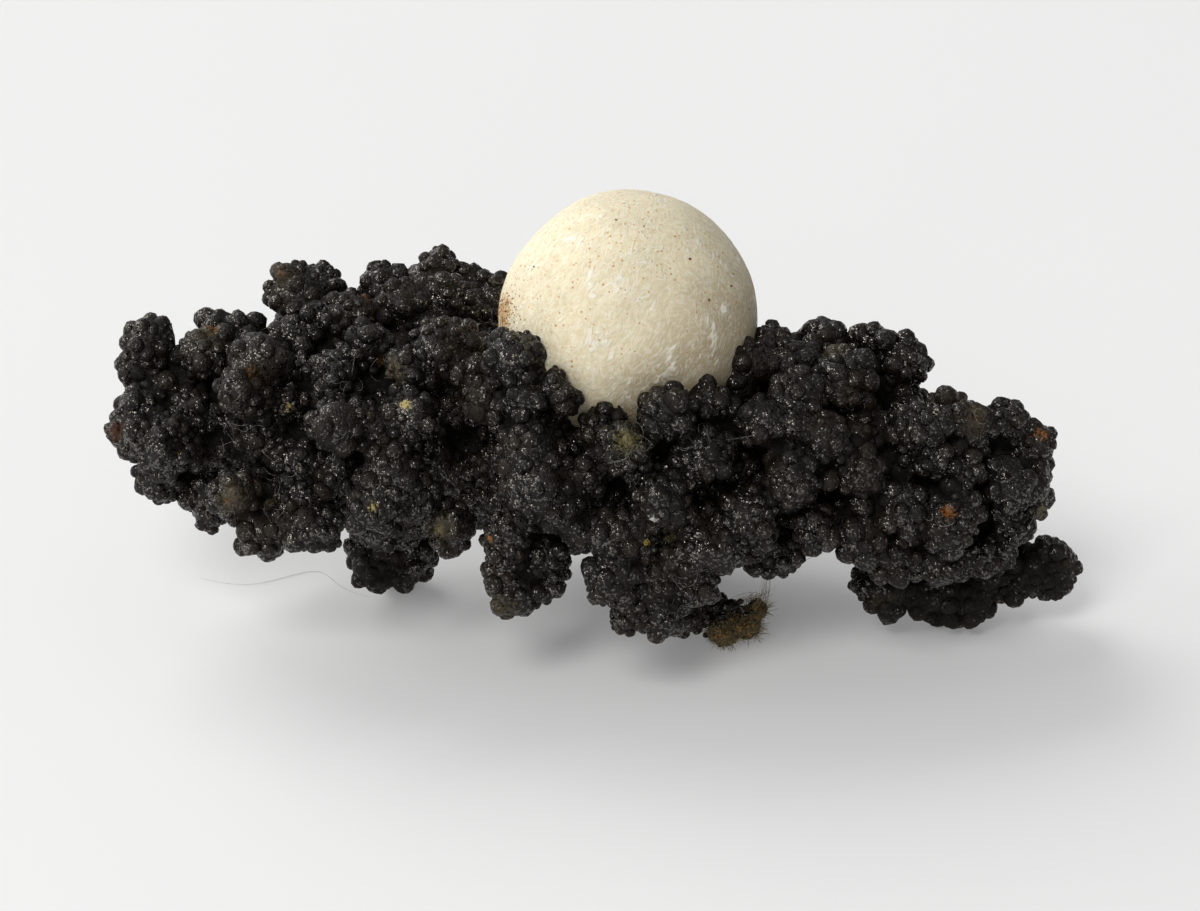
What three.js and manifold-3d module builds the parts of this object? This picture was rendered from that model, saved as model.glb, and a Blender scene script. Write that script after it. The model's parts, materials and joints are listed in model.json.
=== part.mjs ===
// Aragonite with goethite, a miniature mineral specimen. A black, grape-like goethite mass stands on the
// tips of its lower branches, and one smooth ball of white aragonite sits in a hollow in its top. A clump
// of brown earth and fibres sticks to the foot in the middle.
// Millimetres, +Z up, +X along the specimen's length, -Y towards the side that is shown.
import * as THREE from 'three';
import { mergeVertices } from 'three/addons/utils/BufferGeometryUtils.js';
import Module from 'manifold-3d';

// The lobes are set out on a datum face through the earthy foot, leaning back from the vertical by
// FACE_LEAN. A place is [across, up the face, behind the face], and a lobe adds its radius as a fourth.
const FACE_LEAN = THREE.MathUtils.degToRad(28);

const BALL_RADIUS = 5.27;
const BALL_PLACE = [1.15, 13.4, -3.0];
const BALL_DETAIL = 4;
const SEAT_DETAIL = 3;
const SHOULDER_TOWARDS = [-0.73, 0.68, 0.0]; // the ball is a little flat here, as a direction on the face
const SHOULDER_SPREAD = 0.35; // radians
const SHOULDER_DEPTH = 0.16;
const SEAT_GAP = 0.3; // clearance between the goethite and each piece that is seated on it

const ROUND_LOBE = 1.5; // shown lobes from this radius up are dodecahedra, and all others are icosahedra
const FACE_DEPTH = 0.795; // how far out the faces of both shapes lie, as a share of their radius
const FACET_ALLOWANCE = 1.08; // a lobe is drawn this much larger, so that its facets keep its mean radius
const GROUND_BLOCK = 60; // side of the block that trims the feet flat
const WELD = 1e-4; // corners closer than this are one corner

const heart = [
  [-16.4, 8.8, -1.0, 2.5], [-13.0, 9.2, -1.4, 3.1], [-9.4, 9.4, -1.4, 3.6], [-5.6, 9.4, -0.8, 3.8],
  [-2.0, 8.0, -2.4, 4.1], [2.0, 7.4, -2.6, 4.2], [6.2, 7.8, -2.4, 4.0], [10.2, 7.8, -2.0, 3.8],
  [13.6, 7.0, -2.0, 3.2], [16.4, 6.8, -1.4, 2.4], [-8.8, 6.2, 0.6, 2.2], [-7.4, 12.2, 0.0, 2.3],
  [-14.6, 11.4, -0.4, 2.1], [-17.6, 10.6, -0.8, 1.7], [-11.8, 12.4, 0.0, 2.0], [8.4, 10.6, -1.6, 2.4],
  [11.4, 10.4, -1.6, 2.0], [6.6, 5.0, -3.4, 1.7], [-5.8, 8.6, 1.6, 2.8], [-2.8, 8.2, 1.8, 3.2],
  [0.8, 7.6, 2.2, 3.2], [4.6, 7.6, 1.8, 3.2],
];

const leftArm = [
  [-18.5, 12.3, -1.0, 1.3], [-19.1, 11.1, -1.0, 1.0], [-18.9, 9.0, -2.0, 1.4], [-19.8, 8.7, -2.0, 0.6],
  [-17.7, 8.2, -3.0, 1.5], [-18.1, 6.8, -1.5, 1.1], [-16.0, 5.7, -1.4, 1.0], [-15.8, 13.0, -0.4, 1.15],
  [-16.4, 12.1, -2.0, 0.9], [-13.9, 12.1, -4.0, 1.15], [-14.4, 10.5, -4.5, 1.3], [-12.2, 14.6, 0.5, 1.5],
  [-11.1, 13.3, -1.0, 1.25], [-15.0, 6.2, -4.4, 1.3], [-13.8, 4.7, -4.0, 1.15], [-12.3, 5.9, -4.5, 1.15],
  [-11.5, 5.0, -4.8, 0.9], [-12.4, 7.8, -4.4, 1.2], [-10.8, 7.2, -4.6, 1.05], [-13.9, 6.2, -2.8, 1.2],
  [-11.0, 6.2, -2.6, 1.3],
];

const leftCrest = [
  [-8.9, 14.9, 0.4, 0.95], [-6.7, 15.3, 1.6, 1.25], [-4.4, 14.5, 1.8, 1.1], [-9.9, 13.8, -1.5, 1.05],
  [-8.2, 14.0, -1.2, 1.15], [-6.2, 14.0, -0.2, 1.3], [-9.2, 12.3, -3.5, 1.15], [-6.4, 12.3, -4.5, 1.5],
  [-5.3, 11.1, -5.0, 1.05], [-7.6, 11.1, -5.0, 1.15], [-9.7, 9.0, -6.0, 1.4], [-7.8, 9.0, -6.0, 1.2],
  [-8.4, 7.2, -6.0, 1.25], [-9.1, 5.8, -6.3, 1.0], [-7.4, 5.9, -5.3, 1.15], [-6.1, 5.0, -4.8, 1.1],
  [-5.9, 4.1, -4.4, 0.75], [-10.8, 10.8, -4.2, 1.15], [-8.9, 7.6, -4.2, 1.6], [-5.2, 13.2, 0.6, 1.3],
];

const leftFoot = [
  [-8.7, 3.9, 2.8, 1.4], [-8.5, 2.8, 4.1, 1.15], [-10.0, 4.2, 2.4, 1.0], [-7.4, 3.7, 2.8, 1.05],
];

const frontColumn = [
  [-3.3, 11.7, -6.6, 1.25], [-4.6, 9.4, -6.5, 1.0], [-2.9, 10.1, -7.0, 1.15], [-1.2, 10.3, -7.3, 0.8],
  [-2.9, 8.2, -7.0, 1.3], [-2.4, 6.4, -7.4, 1.65], [-3.7, 4.7, -6.4, 1.15], [-3.9, 3.1, -5.8, 1.05],
  [-3.9, 1.8, -5.4, 0.9], [-2.7, 2.1, -5.3, 0.8], [-1.7, 2.7, -5.0, 0.75], [-1.2, 5.5, -7.0, 1.05],
  [-0.4, 7.2, -7.0, 1.15], [-2.2, 3.6, -5.2, 1.2],
];

const frontMiddle = [
  [1.2, 8.2, -8.0, 1.25], [1.0, 4.7, -7.5, 1.25], [0.6, 3.1, -7.0, 1.35], [1.3, 1.6, -6.4, 1.0],
  [2.4, 1.3, -5.4, 0.85], [2.3, 3.2, -6.6, 1.1], [2.5, 6.0, -7.5, 1.4], [2.7, 9.6, -7.2, 1.05],
  [3.5, 2.5, -5.6, 1.1], [4.1, 4.3, -6.5, 1.4], [4.1, 8.0, -7.4, 1.3], [5.9, 5.1, -6.5, 1.4],
  [6.2, 3.8, -4.2, 1.1], [7.4, 3.8, -3.8, 0.95], [0.0, 9.0, -7.0, 0.9], [4.4, 9.7, -6.4, 1.0],
];

const earthyFoot = [
  [3.0, 3.2, -1.8, 1.4], [3.8, 1.7, -0.6, 1.0], [3.6, 1.1, -2.0, 0.85], [4.8, 1.15, 0.6, 0.95],
];

const rightBody = [
  [5.9, 11.3, -4.8, 1.25], [6.8, 12.4, -3.4, 0.9], [7.8, 11.7, -4.0, 1.05], [6.6, 9.2, -7.0, 1.4],
  [8.2, 10.1, -6.3, 1.3], [9.2, 12.6, -2.8, 1.1], [11.0, 12.5, -2.4, 1.05], [12.5, 11.8, -2.8, 1.15],
  [9.9, 11.1, -4.8, 1.3], [8.8, 8.4, -6.5, 1.4], [10.3, 7.2, -6.0, 1.4], [7.8, 6.8, -7.0, 1.4],
  [8.8, 4.8, -5.8, 1.1], [10.7, 4.7, -5.4, 1.25], [12.3, 6.0, -5.5, 1.4], [12.9, 8.8, -5.3, 1.4],
  [14.2, 9.4, -4.2, 1.05], [11.9, 3.6, -4.5, 1.15], [14.2, 5.1, -5.3, 1.4], [14.6, 7.2, -5.0, 1.25],
  [13.3, 3.8, -3.8, 1.2],
];

const rightEnd = [
  [15.4, 9.0, -3.8, 1.15], [16.6, 9.1, -2.5, 1.05], [17.8, 8.3, -2.0, 1.1], [16.4, 6.8, -3.5, 1.4],
  [18.0, 6.6, -2.4, 0.85], [18.0, 5.6, -2.3, 0.75], [16.8, 5.1, -3.0, 1.1], [14.9, 3.7, -3.3, 1.15],
  [16.2, 3.8, -1.4, 1.2],
];

const lowerBranch = [
  [11.6, 2.3, -0.5, 1.3], [13.3, 2.2, 0.0, 1.3], [14.6, 1.6, 1.1, 1.15], [15.8, 2.3, 0.0, 1.0],
  [17.6, 3.1, 0.5, 1.3], [18.7, 2.9, 1.0, 1.15], [18.3, 4.1, 0.0, 0.9],
];

const back = [
  [-17.4, 9.4, 1.0, 1.8], [-15.0, 11.0, 2.0, 1.9], [-15.2, 7.4, 2.0, 1.9], [-12.0, 12.2, 2.6, 1.9],
  [-12.2, 8.8, 3.2, 2.1], [-9.0, 11.4, 3.4, 2.0], [-8.8, 8.0, 4.2, 2.0], [-6.4, 12.8, 2.8, 1.8],
  [-5.6, 9.6, 4.6, 2.2], [-4.8, 6.6, 4.0, 1.9], [-2.8, 11.8, 3.8, 1.7], [-2.0, 8.6, 5.2, 2.1],
  [0.8, 10.8, 5.0, 1.9], [1.4, 7.4, 5.6, 2.1], [2.0, 5.1, 6.3, 1.65], [4.2, 9.8, 5.2, 2.0],
  [4.6, 6.4, 4.6, 2.0], [6.6, 10.4, 3.8, 2.0], [7.8, 7.2, 4.0, 2.0], [9.6, 10.0, 2.8, 1.9],
  [10.8, 7.0, 3.0, 2.0], [12.8, 9.0, 1.8, 1.8], [13.8, 6.2, 2.2, 1.9], [11.8, 3.9, 0.6, 1.6],
  [15.9, 5.0, 1.4, 1.8],
];

const shown = [
  ...leftArm, ...leftCrest, ...leftFoot, ...frontColumn, ...frontMiddle, ...earthyFoot, ...rightBody,
  ...rightEnd, ...lowerBranch,
];
const hidden = [...heart, ...back];

const earthLobes = [
  [5.1, 0.72, -0.7, 0.75], [5.9, 0.95, -0.3, 0.72], [6.5, 1.5, -0.1, 0.45],
];

const wasm = await Module();
wasm.setup();

function fromFace([across, up, behind]) {
  return new THREE.Vector3(
    across,
    up * Math.sin(FACE_LEAN) + behind * Math.cos(FACE_LEAN),
    up * Math.cos(FACE_LEAN) - behind * Math.sin(FACE_LEAN),
  );
}

function toSolid(geometry) {
  const bare = geometry.clone();
  bare.deleteAttribute('normal');
  bare.deleteAttribute('uv');
  const merged = mergeVertices(bare, WELD);
  return new wasm.Manifold(new wasm.Mesh({
    numProp: 3,
    vertProperties: new Float32Array(merged.attributes.position.array),
    triVerts: new Uint32Array(merged.index.array),
  }));
}

function toGeometry(solid) {
  const mesh = solid.getMesh();
  const geometry = new THREE.BufferGeometry();
  geometry.setAttribute('position', new THREE.BufferAttribute(new Float32Array(mesh.vertProperties), 3));
  geometry.setIndex(new THREE.BufferAttribute(new Uint32Array(mesh.triVerts), 1));
  return geometry;
}

// Lobes that meet all round a pocket seal it off as a shell of its own. Keeping the shell with the most
// triangles, which is the outside, fills every such pocket.
function outerShell(geometry) {
  const corners = geometry.index.array;
  const owner = Array.from({ length: geometry.attributes.position.count }, (_, vertex) => vertex);
  const shellOf = (vertex) => {
    let root = vertex;
    while (owner[root] !== root) root = owner[root];
    owner[vertex] = root;
    return root;
  };
  for (let i = 0; i < corners.length; i += 3) {
    owner[shellOf(corners[i])] = shellOf(corners[i + 1]);
    owner[shellOf(corners[i + 1])] = shellOf(corners[i + 2]);
  }
  const shells = new Map();
  for (let i = 0; i < corners.length; i += 3) {
    const shell = shellOf(corners[i]);
    if (!shells.has(shell)) shells.set(shell, []);
    shells.get(shell).push(corners[i], corners[i + 1], corners[i + 2]);
  }
  const largest = [...shells.values()].sort((a, b) => b.length - a.length)[0];
  return geometry.clone().setIndex(largest);
}

// A lobe is turned about its centre by angles taken from its place, so that no two show the same facets.
function lobe(place, growth = 0) {
  const radius = place[3] * FACET_ALLOWANCE + growth / FACE_DEPTH;
  const isRound = shown.includes(place) && place[3] >= ROUND_LOBE;
  const Shape = isRound ? THREE.DodecahedronGeometry : THREE.IcosahedronGeometry;
  const geometry = new Shape(radius).applyQuaternion(
    new THREE.Quaternion().setFromEuler(new THREE.Euler(place[0], place[1], place[2])),
  );
  const at = fromFace(place);
  return toSolid(geometry.translate(at.x, at.y, at.z));
}

function join(solids) {
  return solids.reduce((whole, solid) => whole.add(solid));
}

function ballGeometry(radius, detail) {
  const geometry = new THREE.IcosahedronGeometry(radius, detail);
  const shoulder = fromFace(SHOULDER_TOWARDS).normalize();
  const position = geometry.attributes.position;
  const point = new THREE.Vector3();
  for (let i = 0; i < position.count; i += 1) {
    point.fromBufferAttribute(position, i);
    const away = point.angleTo(shoulder) / SHOULDER_SPREAD;
    point.setLength(point.length() - SHOULDER_DEPTH * Math.exp(-away * away));
    position.setXYZ(i, point.x, point.y, point.z);
  }
  return geometry;
}

function goethiteGeometry() {
  const mass = join([...hidden, ...shown].map((place) => lobe(place)));
  const ballAt = fromFace(BALL_PLACE);
  const seat = ballGeometry(BALL_RADIUS + SEAT_GAP, SEAT_DETAIL).translate(ballAt.x, ballAt.y, ballAt.z);
  const ground = new THREE.BoxGeometry(GROUND_BLOCK, GROUND_BLOCK, GROUND_BLOCK);
  ground.translate(0, 0, -GROUND_BLOCK / 2);
  return outerShell(toGeometry(mass.subtract(toSolid(seat)).subtract(toSolid(ground))));
}

function earthGeometry() {
  const clump = join(earthLobes.map((place) => lobe(place)));
  const foot = join(earthyFoot.map((place) => lobe(place, SEAT_GAP)));
  return outerShell(toGeometry(clump.subtract(foot)));
}

function piece(name, geometry, look) {
  geometry.computeVertexNormals();
  const mesh = new THREE.Mesh(geometry, new THREE.MeshStandardMaterial(look));
  mesh.name = name;
  return mesh;
}

const ballLook = { color: 0xe6dcc6, roughness: 0.5, metalness: 0 };
const ball = piece('aragonite_ball', ballGeometry(BALL_RADIUS, BALL_DETAIL), ballLook);
ball.position.copy(fromFace(BALL_PLACE));

const specimen = new THREE.Group();
specimen.add(
  piece('goethite', goethiteGeometry(), { color: 0x1d1b1b, roughness: 0.42, metalness: 0.1 }),
  ball,
  piece('earthy_tuft', earthGeometry(), { color: 0x6a5a36, roughness: 1, metalness: 0 }),
);
const box = new THREE.Box3().setFromObject(specimen, true);
const centre = box.getCenter(new THREE.Vector3());
specimen.position.set(-centre.x, -centre.y, -box.min.z);

export default specimen;
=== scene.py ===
"""Aragonite with goethite, a miniature mineral specimen: its looks, built around its fixed frame.

Goethite grows as crowded black grapes on rounded branches. A smooth ball of felted white aragonite sits
in a hollow in its top, a clump of brown earth and fibres clings to the middle foot, and lint has caught on
the grapes. Shapes are worked out in millimetres and stored in metres.
"""

import json
import math

import bmesh
import bpy
import numpy as np
from bpy.props import FloatProperty, FloatVectorProperty, IntProperty, PointerProperty
from bpy.types import Operator, Panel, PropertyGroup
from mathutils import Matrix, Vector, noise
from mathutils.bvhtree import BVHTree
from mathutils.kdtree import KDTree

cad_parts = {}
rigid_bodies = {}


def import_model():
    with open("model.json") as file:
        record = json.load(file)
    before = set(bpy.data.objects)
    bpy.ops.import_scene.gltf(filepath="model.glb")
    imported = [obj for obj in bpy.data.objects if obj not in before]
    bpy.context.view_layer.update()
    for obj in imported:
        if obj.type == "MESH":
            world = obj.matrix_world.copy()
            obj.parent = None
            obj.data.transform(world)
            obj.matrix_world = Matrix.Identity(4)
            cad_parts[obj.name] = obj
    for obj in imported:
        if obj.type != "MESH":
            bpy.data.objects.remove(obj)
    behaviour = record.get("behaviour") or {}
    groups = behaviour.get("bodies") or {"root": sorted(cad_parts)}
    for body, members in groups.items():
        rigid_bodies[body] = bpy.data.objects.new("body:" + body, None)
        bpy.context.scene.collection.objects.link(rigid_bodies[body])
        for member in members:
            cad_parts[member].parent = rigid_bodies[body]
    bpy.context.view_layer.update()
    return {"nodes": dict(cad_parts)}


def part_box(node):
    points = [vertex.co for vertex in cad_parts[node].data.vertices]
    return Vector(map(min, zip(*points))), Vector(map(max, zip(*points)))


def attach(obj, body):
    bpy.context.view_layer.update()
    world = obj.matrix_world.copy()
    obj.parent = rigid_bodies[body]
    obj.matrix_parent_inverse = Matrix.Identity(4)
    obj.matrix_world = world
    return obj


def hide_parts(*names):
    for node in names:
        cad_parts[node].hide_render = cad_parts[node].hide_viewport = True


bl_info = {
    "name": "Aragonite with goethite specimen",
    "version": (1, 0, 0),
    "blender": (4, 5, 0),
    "location": "3D View > Sidebar > Specimen",
    "description": "Dresses the frame of an aragonite with goethite specimen",
    "category": "Object",
}

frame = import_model()

MM = 0.001

BALL_RADIUS = 5.27
BALL_CENTRE = sum(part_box("aragonite_ball"), Vector()) / 2 / MM

# The viewing point looks down on the specimen's long side. Places that are given as (right, rise) are
# millimetres right of and above the aim point, on the plane through the ball's centre that faces it.
VIEW_ELEVATION = math.radians(28)
VIEW_DISTANCE = 317.0
LENS = 233.6
SENSOR_WIDTH = 36.0
RIGHT = Vector((1, 0, 0))
VIEW = Vector((0, math.cos(VIEW_ELEVATION), -math.sin(VIEW_ELEVATION)))
RISE = Vector((0, math.sin(VIEW_ELEVATION), math.cos(VIEW_ELEVATION)))
AIM = BALL_CENTRE - 1.14 * RIGHT - 5.56 * RISE
VIEWPOINT = AIM - VIEW_DISTANCE * VIEW

# Stains on the goethite, and painted shade on its shaded feet: colour name, and (right, rise, radius) of
# each spot.
STAIN_AND_SHADE_COLOURS = {
    "ochre": (0.20, 0.095, 0.022),
    "rust": (0.085, 0.028, 0.010),
    "orange": (0.33, 0.115, 0.022),
    "straw": (0.52, 0.42, 0.17),
    "olive": (0.150, 0.130, 0.045),
    "dust": (0.070, 0.053, 0.028),
    # painted shade for the feet that lie in shade: a brown-tinted dark that also darkens and dulls them,
    # just as the hollows are darkened and dulled
    "foot_shade": (0.019, 0.0135, 0.0075),
    "yellow": (0.62, 0.42, 0.06),
    "pale": (0.62, 0.62, 0.58),
}
SHADING_AND_DULLING = ("foot_shade",)  # marks that darken as painted shade and take the glitter off, as in the hollows
STAINS_AND_FOOT_SHADE = {
    "ochre": [
        (-14.25, 3.40, 0.37), (-15.76, 5.92, 0.57), (-8.84, 3.89, 0.41), (-13.03, 7.43, 0.37),
        (-15.15, -1.81, 0.29),
    ],
    "rust": [(-19.67, 0.96, 0.60), (-9.49, 6.41, 0.30), (15.27, 1.49, 0.40), (-17.10, 6.33, 0.33)],
    "orange": [
        (14.17, -2.34, 0.41), (18.04, 1.12, 0.33), (-4.52, -3.32, 0.24), (-14.25, -0.88, 0.20),
        (-14.37, 3.44, 0.22),
    ],
    "straw": [(-12.70, 1.97, 0.26), (-7.90, 2.10, 0.29), (-9.24, -2.10, 0.20)],
    "olive": [
        (1.14, 0.63, 0.90), (2.85, -3.24, 0.45), (-13.44, -1.93, 0.49), (-6.51, -3.03, 0.40),
        (17.92, -2.30, 0.37), (12.83, -3.56, 0.33),
    ],
    "dust": [
        (-16.20, 5.80, 1.20), (-4.10, -6.20, 1.20), (-8.40, 3.60, 1.10), (-6.40, -2.90, 1.00),
        (15.30, 1.40, 1.20), (-13.10, 7.40, 1.00), (-15.00, -1.70, 1.20), (2.60, -3.00, 0.90),
        (9.60, 4.20, 1.10), (11.30, -5.80, 0.60), (12.30, -6.60, 0.60),
    ],
    # painted shade on the feet that lie in shade, darkened and dulled just as the hollows are
    "foot_shade": [
        (12.50, -5.70, 2.20), (15.60, -5.60, 2.20), (18.00, -5.20, 1.80), (13.80, -6.60, 1.80),
        (-9.00, -5.00, 1.60),
    ],
    "yellow": [(1.91, -3.56, 0.12), (-17.10, -0.02, 0.09)],
    "pale": [(2.16, -2.59, 0.20), (-6.64, 1.69, 0.16)],
}

# Knuckles swell the mass and grapes cover it. Each level has bands of smallest and largest radius in mm and
# tries per mm2, the share of their two radii that centres stay apart, and the least and most that a ball
# is sunk, as a share of its radius.
KNUCKLES = ([(0.75, 1.05, 0.35), (0.50, 0.75, 1.5)], 0.80, 0.45, 0.68)
GRAPES = ([(0.33, 0.47, 1.1), (0.24, 0.33, 3.6), (0.15, 0.24, 5.5)], 0.76, 0.06, 0.44)
GRAPE_PIECES = 5
# Where the cover noise is above the first number, balls with a smaller radius in mm than the second are
# left out.
BARE_ABOVE = 0.18
BARE_RADIUS = 0.30
MOST_TRIANGLES = 190000  # of the mass
# Smoothing rounds that show how deep a place lies between others, the depth beyond which no ball sits
# there, the share by which that depth is cut deeper, and the most that it is cut, in mm.
NODULE_VALLEYS = (30, 0.10, 2.4, 0.65)
KNUCKLE_VALLEYS = (12, 0.07, 1.4, 0.35)
LEVEL_ROUNDS = 2  # smoothing rounds after the mass is first meshed
HOLLOW_ROUNDS = 30  # smoothing rounds that show how deep a hollow lies, which sets its painted shade
HOLLOW_DEPTH = 0.22  # depth in mm at which a hollow's painted shade is darkest
# Dark hollows between the nodules: (right, rise, radius, depth).
HOLLOWS = [
    (-5.30, 0.80, 1.20, 2.0), (-5.00, 1.60, 0.70, 1.2), (-18.30, 4.30, 0.55, 0.9), (-15.70, 3.50, 0.55, 0.9),
    (-15.70, 0.60, 0.60, 0.9), (-12.60, 0.80, 0.60, 0.9), (-1.20, 1.20, 0.55, 1.0), (5.30, 1.00, 0.95, 1.4),
    (6.10, -1.60, 0.55, 0.9), (11.60, 2.30, 0.60, 1.0), (11.60, 3.20, 0.45, 0.8), (12.70, -0.30, 0.50, 0.8),
    (14.40, 0.20, 0.42, 0.7), (16.20, 0.30, 0.50, 0.8), (8.50, -1.60, 0.45, 0.7), (-9.80, 0.60, 0.45, 0.7),
    (-3.60, -1.80, 0.50, 0.8), (2.30, -0.80, 0.50, 0.8), (9.90, 1.20, 0.45, 0.7),
]
# Places where the outline swells out, or in where the last number is below zero: (right, rise, radius, mm).
OUTLINE_SWELLS = [
    (10.00, 5.92, 0.60, -0.50), (8.00, 4.90, 0.60, -0.40), (18.70, -0.30, 0.60, -0.40),
    (19.30, -3.60, 0.90, 0.60), (-1.00, -3.25, 0.90, 0.60), (-10.40, -4.00, 0.60, -0.30),
    (14.30, -4.95, 0.60, 0.40), (-13.00, 7.60, 0.70, 0.35), (-14.40, 5.30, 0.80, 0.20),
    (-4.90, -3.20, 0.60, 0.40), (-16.90, -1.60, 0.60, 0.40),
]
# Small shifts of the finished outline: (right, rise, radius, move right, move up), in mm.
NUDGES = [
    (-17.15, 5.00, 0.60, 0.00, 0.75), (-15.30, 6.20, 0.80, 0.00, 0.60), (-13.60, 7.00, 0.70, -0.35, 0.00),
    (-6.60, 8.40, 0.80, 0.00, 0.20), (-4.90, 7.40, 0.60, -0.10, -0.60), (8.30, 5.40, 0.80, 0.20, -0.60),
    (12.00, 5.20, 0.60, -0.10, -0.60), (18.00, 1.20, 0.90, 0.30, 0.15), (19.20, -3.80, 0.90, 0.30, 0.15),
    (18.50, -6.00, 0.80, 0.00, -0.25), (10.30, -5.40, 0.80, -0.65, 0.00), (11.60, -6.80, 0.60, -0.10, -0.30),
    (5.40, -4.80, 0.50, 0.00, -0.35), (-0.90, -4.80, 0.50, 0.25, 0.00), (-5.00, -3.60, 0.50, 0.10, -0.30),
    (-4.80, -4.90, 0.50, 0.35, 0.00), (-15.15, -3.05, 0.50, 0.00, -0.75), (-13.90, -4.10, 0.60, 0.00, 0.35),
    (-11.50, -4.00, 0.60, 0.00, 0.35), (-18.50, -1.80, 0.70, 0.25, 0.30), (-10.50, -3.30, 0.40, 0.00, -0.30),
    (-6.40, -4.10, 0.60, 0.00, 0.35), (-12.00, 7.90, 0.80, 0.00, -0.20), (-19.60, 3.50, 0.80, 0.30, 0.00),
    (16.20, -6.10, 0.60, 0.00, 0.35), (14.00, -7.00, 0.80, 0.00, 0.20), (13.20, 4.30, 0.60, -0.25, -0.10),
    (5.90, 3.70, 1.30, -0.60, 0.50), (4.20, 3.10, 1.00, -0.10, 0.35), (-1.00, 3.20, 1.10, -0.50, -0.60),
    (1.10, 1.80, 0.80, 0.00, 0.45), (2.30, 2.90, 0.60, 0.20, -0.30), (-2.40, 4.10, 0.60, 0.35, 0.10),
    (-3.50, 5.00, 0.80, 0.00, -0.25), (-5.50, 7.60, 0.50, -0.25, -0.35), (8.10, 5.10, 0.45, 0.00, -0.45),
    (1.40, -7.40, 1.00, 0.00, 0.30), (-19.00, -1.10, 0.60, 0.30, 0.00), (-0.80, 2.40, 0.70, -0.50, -0.25),
]
# Grapes that close gaps between nodules, and grapes between the middle foot and the clump of earth:
# (right, rise, radius).
GAP_GRAPES = [(-6.31, -1.97, 0.40), (8.02, -3.60, 0.40), (10.26, 4.42, 0.40), (9.90, 4.20, 0.34)]
FOOT_GRAPES = [
    (4.40, -6.09, 0.32), (4.89, -5.90, 0.32), (5.37, -6.07, 0.28), (5.74, -6.29, 0.20), (4.72, -6.37, 0.34),
    (5.17, -6.48, 0.28), (4.28, -6.70, 0.30), (3.95, -6.37, 0.34), (3.66, -6.78, 0.34), (3.95, -7.05, 0.26),
    (3.34, -6.98, 0.28), (2.93, -6.86, 0.32), (4.55, -6.95, 0.20), (4.10, -5.90, 0.26), (3.40, -6.50, 0.34),
]
# The goethite swells to touch the ball where it is nearer than this, in mm, and faces the ball so far that
# the cosine of the angle is above the other number.
SEAT_REACH = 0.95
SEAT_FACING = 0.45
SEAT_GAP = 0.03  # between the swollen goethite and the ball, in mm

# Tangles of lint on the grapes: (right, rise, radius, fibres). Single fibres are lists of (right, rise).
TANGLES = [
    (-14.90, 1.30, 0.90, 9), (-13.00, -1.30, 1.20, 13), (-16.00, 5.40, 0.50, 4), (-13.00, 5.20, 0.40, 3),
    (-9.90, 3.20, 0.80, 8), (1.10, 0.50, 0.90, 14), (4.30, 0.60, 0.70, 7), (3.20, -5.20, 0.60, 4),
    (-0.20, 2.30, 0.40, 3), (13.90, -2.50, 0.60, 4), (8.70, -3.60, 0.60, 3), (17.60, -2.60, 0.50, 4),
    (-7.60, 2.00, 0.40, 4), (15.50, 1.50, 0.70, 4),
]
CAUGHT_LINT = [
    [(1.83, -1.00), (1.95, -1.45), (1.80, -2.00), (1.92, -2.63)],
    [(4.07, 0.43), (4.50, 0.22), (4.80, -0.10), (5.09, -0.18)],
    [(5.09, 0.63), (5.70, 0.71), (6.31, 0.83)],
    [(-16.49, -1.00), (-16.21, -1.12), (-15.96, -1.24)],
    [(2.85, -4.87), (3.10, -5.30), (3.66, -5.80)],
]
LINT_RADIUS = 0.0048  # in mm
TUFT_GRAINS = 900
# Longer wisps that leave the clump of earth: lists of (right, rise), and how many fibres are in each.
TUFT_WISPS = [
    [(6.10, -6.40), (6.50, -6.00), (6.70, -5.70), (6.72, -5.30)],
    [(5.70, -6.00), (6.10, -5.85), (6.60, -5.80), (7.00, -5.60)],
    [(6.60, -6.10), (6.75, -5.60), (6.80, -5.10), (6.70, -4.60)],
    [(5.20, -6.10), (5.60, -5.80), (6.00, -5.70), (6.40, -5.75)],
]
WISP_FIBRES = 7
# The long fibre on the floor: (right, rise) of its bends, and its radius in mm.
FLOOR_LINT = [
    (-16.29, -4.99), (-15.27, -5.23), (-14.25, -5.31), (-13.23, -5.07), (-12.21, -4.78),
    (-11.48, -4.66), (-10.99, -4.91), (-10.38, -5.56), (-9.36, -5.76),
]
FLOOR_LINT_RADIUS = 0.009
# Single dark grains on the ball, and the middle of the dirt at its left edge: (right, rise).
BALL_DOTS = [
    (3.66, 8.00), (4.44, 6.33), (5.33, 6.90), (5.42, 7.39), (6.07, 5.96), (0.65, 9.59), (1.79, 9.34),
    (-2.69, 7.68), (0.37, 6.66),
]
BALL_DIRT = (-3.95, 5.75)
DIRT_GRAINS = 220
# Starts of the random draws of each group besides the goethite.
FOOT_SEED = 3
BALL_SEED = 23
EARTH_SEED = 5
LINT_SEED = 31


class GoethiteSettings(PropertyGroup):
    grape_scale: FloatProperty(
        name="Grape scale", description="Size of knuckles and grapes against their usual size",
        default=1.0, min=0.5, max=2.0,
    )
    sinking: FloatProperty(
        name="Mass inset", description="How far the mass lies inside the swellings that cover it",
        default=0.00030, min=0.0, max=0.0006, unit="LENGTH", subtype="DISTANCE", precision=5,
    )
    voxel: FloatProperty(
        name="Mass cell size", description="Cell size of the mesh of the mass",
        default=0.00022, min=0.0001, max=0.001, unit="LENGTH", subtype="DISTANCE", precision=5,
    )
    seed: IntProperty(name="Seed", description="Start of the grapes' random places", default=17, min=0)
    black: FloatVectorProperty(
        name="Black", description="Colour of clean goethite", subtype="COLOR", size=3,
        default=(0.0060, 0.0048, 0.0034), min=0.0, max=1.0,
    )
    brown: FloatVectorProperty(
        name="Brown", description="Colour of weathered goethite", subtype="COLOR", size=3,
        default=(0.017, 0.0105, 0.0055), min=0.0, max=1.0,
    )


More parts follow.
